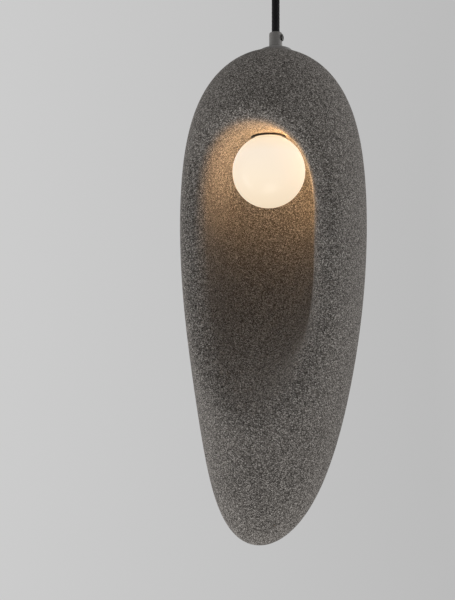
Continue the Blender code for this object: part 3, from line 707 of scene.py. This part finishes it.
cap = woven_mesh("crown_cap", scribed_cap(96, 18)[::-1], 40)
cap.data.materials.append(grey_coat)
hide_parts("top_cap")
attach(cap, "lamp")


# ---------------------------------------------------------------- crown fixings
# A threaded steel nipple runs from the grip through the crown, where a washer and a hexagon nut clamp shade
# and cap together. The live and neutral cores pass down through it to the lampholder.
coat(zinc, "threaded_nipple", "crown_washer", "crown_nut")
coat(wire_sleeves["live_wire"], "inner_live_wire")
coat(wire_sleeves["neutral_wire"], "inner_neutral_wire")


# ---------------------------------------------------------------- lampholder and lamp
# A black moulded holder clamped in the scoop's ceiling by a threaded ring. Its dished flange follows the
# globe, and inside it a porcelain socket, held by a steel clamp, carries a two-pin capsule lamp.
holder_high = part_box("lamp_holder")[1]
holder_y = -globe_forward
flange_radius = holder_high.x
flange_top = crown_level - ceiling_depth - 0.0003
flange_inside = flange_top - 0.0012
flange_edge = flange_top - 0.0021
holder_shelf = crown_level - 0.0871
holder_recess = holder_high.z - 0.0022
holder_radius = 0.0169
holder_bore = 0.0155
socket_bore = 0.0084
recess_radius = 0.0109
holder_profile = [
    (recess_radius, holder_high.z), (holder_radius, holder_high.z), (holder_radius, flange_top),
    (flange_radius, flange_top), (flange_radius, flange_edge), (holder_bore, flange_inside),
    (holder_bore, holder_shelf), (socket_bore, holder_shelf), (socket_bore, holder_recess),
    (recess_radius, holder_recess),
]
holder = woven_mesh("lamp_holder_body", lathed(eased(holder_profile, 0.0005), 96, (0, holder_y))[::-1], 40)
holder.data.materials.append(black_nylon)
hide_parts("lamp_holder")
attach(holder, "lamp")
coat(black_nylon, "holder_lock_ring")
coat(porcelain, "pin_socket", "bulb_base")
coat(zinc, "socket_clamp", "clamp_screw_right", "clamp_screw_left", "bulb_pin_right", "bulb_pin_left")
coat(moulded_finish("clear_silicone", (0.70, 0.68, 0.64), 0.5), "globe_gasket")


def lit_glass(name, bands, strength, level_low, level_high):
    """Glass lit from inside: bands of warm white up its height, under a smooth dim surface."""
    made, tree, shader, place = nodes_of(name)
    split = tree.nodes.new("ShaderNodeSeparateXYZ")
    tree.links.new(place, split.inputs["Vector"])
    up = tree.nodes.new("ShaderNodeMapRange")
    up.inputs["From Min"].default_value = level_low
    up.inputs["From Max"].default_value = level_high
    tree.links.new(split.outputs["Z"], up.inputs["Value"])
    tree.links.new(blend_of_colours(tree, up.outputs["Result"], *bands), shader.inputs["Emission Color"])
    shader.inputs["Base Color"].default_value = (0.12, 0.105, 0.085, 1)
    shader.inputs["Roughness"].default_value = 0.28
    shader.inputs["Specular IOR Level"].default_value = 0.2
    shader.inputs["Emission Strength"].default_value = strength
    return made


bulb_low, bulb_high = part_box("bulb_capsule")
bulb_bands = ((0.0, (1.0, 0.80, 0.55)), (0.7, (1.0, 0.84, 0.62)), (1.0, (0.85, 0.60, 0.35)))
coat(lit_glass("lit_capsule", bulb_bands, 1.2, bulb_low.z, bulb_high.z), "bulb_capsule")


# ---------------------------------------------------------------- globe
# Mouth-blown opal glass, 80 mm across, with a short threaded neck. The lamp inside lights it evenly, a little
# yellower by the neck, and it throws warm light over the scoop.
globe_radius = 0.040
globe_wall = 0.0025
globe_depth = 0.136
globe_centre = Vector((0, -globe_forward, crown_level - globe_depth))
neck_radius = 0.0151
neck_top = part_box("opal_globe")[1].z
thread_pitch = 0.004
thread_depth = 0.0005


def globe_surface(around):
    """A hollow ball with an open neck: the inner ball from below up to the neck, over the neck's edge, down
    the neck with its round screw thread, and the outer ball down to its lowest point."""
    inner = globe_radius - globe_wall
    neck_inner = neck_radius - globe_wall
    inner_end = math.acos(neck_inner / inner)
    outer_start = math.acos(neck_radius / globe_radius)
    sweep = np.linspace(-math.pi / 2, inner_end, 60)
    inside = np.stack([inner * np.cos(sweep), inner * np.sin(sweep)], axis=-1)
    neck_levels = np.linspace(neck_top - globe_centre.z, globe_radius * math.sin(outer_start), 30)
    outside_neck = np.stack([np.full_like(neck_levels, neck_radius), neck_levels], axis=-1)
    sweep = np.linspace(outer_start, -math.pi / 2, 90)[1:]
    outside = np.stack([globe_radius * np.cos(sweep), globe_radius * np.sin(sweep)], axis=-1)
    edge = np.array([[neck_inner, neck_top - globe_centre.z]])
    profile = np.concatenate([inside, edge, outside_neck, outside])
    turn = np.linspace(0, 2 * math.pi, around, endpoint=False)[None, :]
    radius, level = profile[:, :1] + 0 * turn, profile[:, 1:] + 0 * turn
    threaded = np.zeros(len(profile), dtype=bool)
    threaded[len(inside) + 3 : len(inside) + 24] = True
    wave = np.cos(2 * math.pi * level / thread_pitch - turn)
    radius = np.where(threaded[:, None], radius - thread_depth * (0.5 - 0.5 * wave), radius)
    x = globe_centre.x + radius * np.cos(turn)
    y = globe_centre.y + radius * np.sin(turn)
    return np.stack([x, y, globe_centre.z + level], axis=-1)


globe_bands = (
    (0.00, (0.90, 0.735, 0.53)), (0.35, (0.955, 0.81, 0.63)), (0.70, (0.965, 0.84, 0.69)),
    (0.90, (0.95, 0.80, 0.60)), (1.00, (0.86, 0.66, 0.40)),
)
globe_bottom, globe_top = globe_centre.z - globe_radius, globe_centre.z + globe_radius
opal = lit_glass("lit_opal_glass", globe_bands, 0.93, globe_bottom, globe_top)
globe = woven_mesh("opal_globe_glass", globe_surface(128)[::-1], 50)
globe.data.materials.append(opal)
globe.visible_shadow = False  # so that the lamp's light passes through the glass
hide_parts("opal_globe")
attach(globe, "globe")


def near_light(name, energy, colour, reach, fade):
    """A soft round light that fades past its reach faster than real light does: its strength is one over
    one plus the ray's length, as a share of the reach, to the power of the fade."""
    made = bpy.data.lights.new(name, "POINT")
    made.energy = energy
    made.color = colour
    made.shadow_soft_size = 0.018
    made.cycles.use_multiple_importance_sampling = False
    made.use_nodes = True
    tree = made.node_tree
    travelled = tree.nodes.new("ShaderNodeLightPath").outputs["Ray Length"]
    for operation, value in (("DIVIDE", reach), ("POWER", fade), ("ADD", 1.0), ("POWER", -1.0)):
        step = tree.nodes.new("ShaderNodeMath")
        step.operation = operation
        step.inputs[1].default_value = value
        tree.links.new(travelled, step.inputs[0])
        travelled = step.outputs["Value"]
    tree.links.new(travelled, tree.nodes["Emission"].inputs["Strength"])
    return bpy.data.objects.new(name, made)


lamp_light = near_light("lamp_light", 0.84, (1.0, 0.59, 0.26), 0.072, 3.6)
lamp_offset = Vector((0.018, -0.012, -0.008))
lamp_light.location = globe_centre + lamp_offset
lamp_light.visible_camera = False
bpy.context.scene.collection.objects.link(lamp_light)
bpy.context.view_layer.update()
lamp_light.parent = globe
lamp_light.matrix_parent_inverse = globe.matrix_world.inverted()
for inner_piece in ("bulb_capsule", "bulb_base", "bulb_pin_left", "bulb_pin_right"):
    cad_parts[inner_piece].visible_shadow = False


# ---------------------------------------------------------------- studio
# A pale floor far below the lamp, a grey surround that is lighter behind the lamp and to its left, and four
# broad soft lights: at the left, at the right, low and high.
floor_radius = 3.0
floor_level = -2.4
floor_turn = np.linspace(0, 2 * math.pi, 128, endpoint=False)[None, :]
floor_reach = np.linspace(0, floor_radius, 5)[:, None]
floor_x, floor_y = floor_reach * np.cos(floor_turn), floor_reach * np.sin(floor_turn)
floor_points = np.stack([floor_x, floor_y, np.full_like(floor_x, floor_level)], axis=-1)
floor = woven_mesh("floor", floor_points)
pale, pale_tree, pale_shader, pale_place = nodes_of("pale_floor")
pale_colour = blend_of_colours(
    pale_tree, clouds(pale_tree, pale_place, 3), (0.3, (0.60, 0.60, 0.60)), (0.7, (0.64, 0.64, 0.64))
)
pale_tree.links.new(pale_colour, pale_shader.inputs["Base Color"])
pale_shader.inputs["Roughness"].default_value = 0.8
floor.data.materials.append(pale)
surround = bpy.data.worlds.new("surround")
surround.use_nodes = True
sky = surround.node_tree
sky_place = sky.nodes.new("ShaderNodeTexCoord").outputs["Generated"]


def by_direction(way, *stops):
    """Greys laid from one side of the surround to the other along a direction, with 0.5 at right angles to
    it."""
    along = sky.nodes.new("ShaderNodeVectorMath")
    along.operation = "DOT_PRODUCT"
    along.inputs[1].default_value = way
    sky.links.new(sky_place, along.inputs[0])
    half = sky.nodes.new("ShaderNodeMath")
    half.operation = "MULTIPLY_ADD"
    half.inputs[1].default_value = 0.5
    half.inputs[2].default_value = 0.5
    sky.links.new(along.outputs["Value"], half.inputs[0])
    return blend_of_colours(sky, half.outputs["Value"], *[(place, (grey,) * 3) for place, grey in stops])


sideways = by_direction(rightwards, (0.0, 0.70), (0.36, 0.600), (0.64, 0.500), (1.0, 0.66))
depth = by_direction(ahead, (0.0, 0.62), (0.45, 0.80), (0.75, 1.0))
both = sky.nodes.new("ShaderNodeMix")
both.data_type = "RGBA"
both.blend_type = "MULTIPLY"
both.inputs["Factor"].default_value = 1.0
sky.links.new(sideways, both.inputs["A"])
sky.links.new(depth, both.inputs["B"])
sky.links.new(both.outputs["Result"], sky.nodes["Background"].inputs["Color"])
bpy.context.scene.world = surround
bpy.context.scene.view_settings.view_transform = "Standard"
for word, place, size, energy in (
    ("left", -1.25 * rightwards + 0.30 * ahead + Vector((0, 0, -0.85)), 1.0, 12),
    ("right", 1.4 * rightwards + 0.30 * ahead + Vector((0, 0, -0.05)), 1.1, 9.5),
    ("low", -0.60 * ahead + 0.10 * rightwards + Vector((0, 0, -1.6)), 1.0, 11),
    ("high", -0.6 * ahead + 0.2 * rightwards + Vector((0, 0, 1.0)), 1.0, 3),
):
    light = bpy.data.objects.new(word + "_light", bpy.data.lights.new(word + "_light", "AREA"))
    light.data.size = size
    light.data.energy = energy
    light.location = place
    light.rotation_euler = (Vector((0, 0, view_level)) - place).to_track_quat("-Z", "Y").to_euler()
    bpy.context.scene.collection.objects.link(light)
